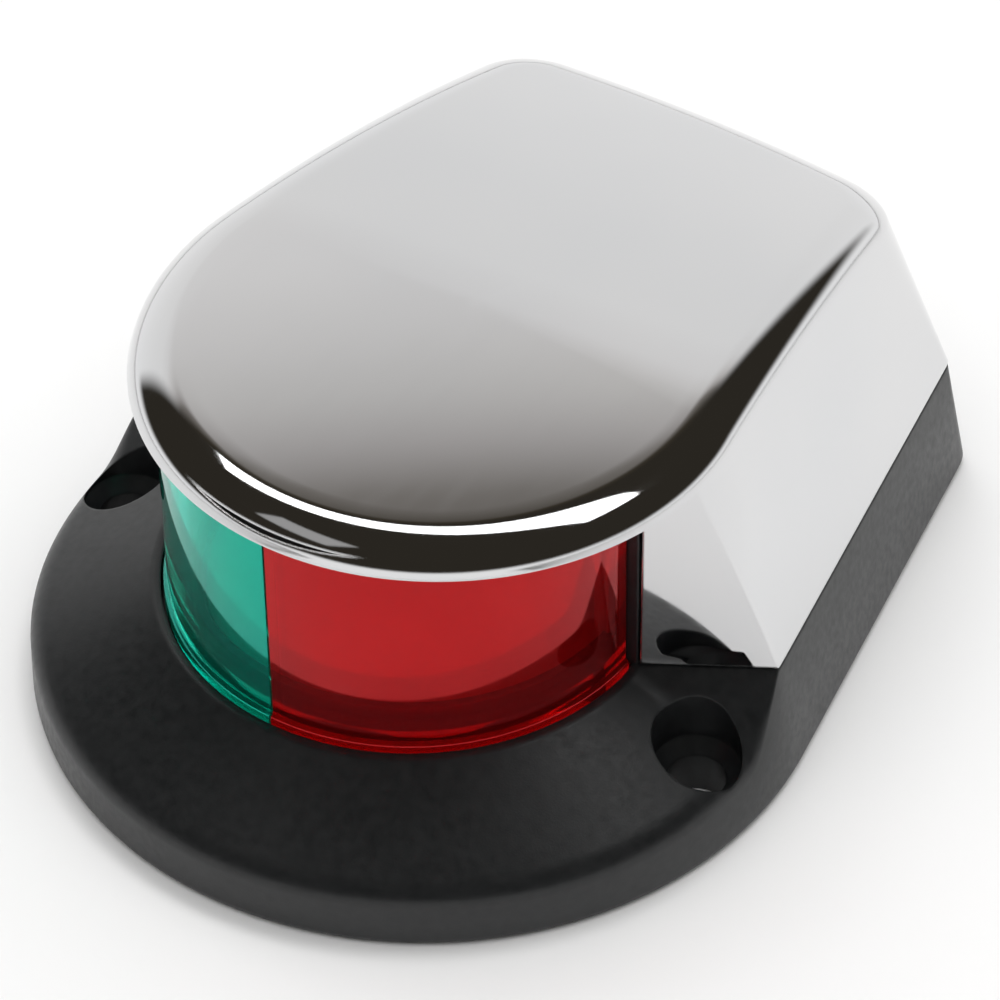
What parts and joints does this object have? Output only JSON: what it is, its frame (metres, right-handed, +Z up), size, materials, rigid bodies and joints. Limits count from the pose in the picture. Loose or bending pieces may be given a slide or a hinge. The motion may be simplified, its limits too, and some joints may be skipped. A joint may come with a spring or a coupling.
{
  "type": "boat bow navigation light",
  "caption": "Low-profile deck-mount bow light: red and green half-round lens between a black plastic base and a chromed cover that lifts off to reach the bulb.",
  "frame": {"origin": "centre of the footprint, on the deck under the base", "axes": "+Z up from the deck, -Y towards the bow, where the lens looks, +X towards port, the red side"},
  "size_m": [0.0816, 0.0984, 0.0405],
  "materials": {
    "black_plastic": "fine-grained moulded plastic, satin black",
    "chrome_plate": "bright chrome plate on cast zinc",
    "red_lens": "clear red acrylic",
    "green_lens": "clear green acrylic",
    "black_rubber": "soft matt rubber",
    "stainless_steel": "bright stainless",
    "white_plastic": "white moulded plastic",
    "plated_steel": "zinc-plated sheet steel",
    "natural_nylon": "unpigmented nylon",
    "brass": "rolled spring brass",
    "clear_glass": "clear blown glass",
    "nickel_wire": "drawn nickel-iron wire",
    "tungsten": "dark tungsten wire"
  },
  "bodies": {
    "housing": {"base": "black_plastic", "lens_red": "red_lens", "lens_green": "green_lens", "lens_seal_lower": "black_rubber", "housing_seal": "black_rubber", "deck_gasket": "black_rubber", "wire_grommet": "black_rubber", "cover_screw_port": "stainless_steel", "cover_screw_washer_port": "stainless_steel", "cover_screw_starboard": "stainless_steel", "cover_screw_washer_starboard": "stainless_steel", "cover_screw_aft": "stainless_steel", "cover_screw_washer_aft": "stainless_steel", "reflector": "white_plastic", "lamp_bracket": "plated_steel", "bracket_screw_port": "stainless_steel", "bracket_screw_starboard": "stainless_steel", "lamp_holder": "natural_nylon", "contact_upper": "brass", "contact_lower": "brass"},
    "cover": {"top_cover": "chrome_plate", "lens_seal_upper": "black_rubber"},
    "bulb": {"bulb_glass": "clear_glass", "bulb_lead_port": "nickel_wire", "bulb_lead_starboard": "nickel_wire", "bulb_filament": "tungsten"}
  },
  "joints": [
    {"name": "cover_lift", "type": "slide", "parent": "housing", "child": "cover", "axis": [0, 0, 1], "range_m": [0, 0.045]},
    {"name": "bulb_pull", "type": "slide", "parent": "housing", "child": "bulb", "axis": [0, -1, 0], "range_m": [0, 0.0105]}
  ]
}
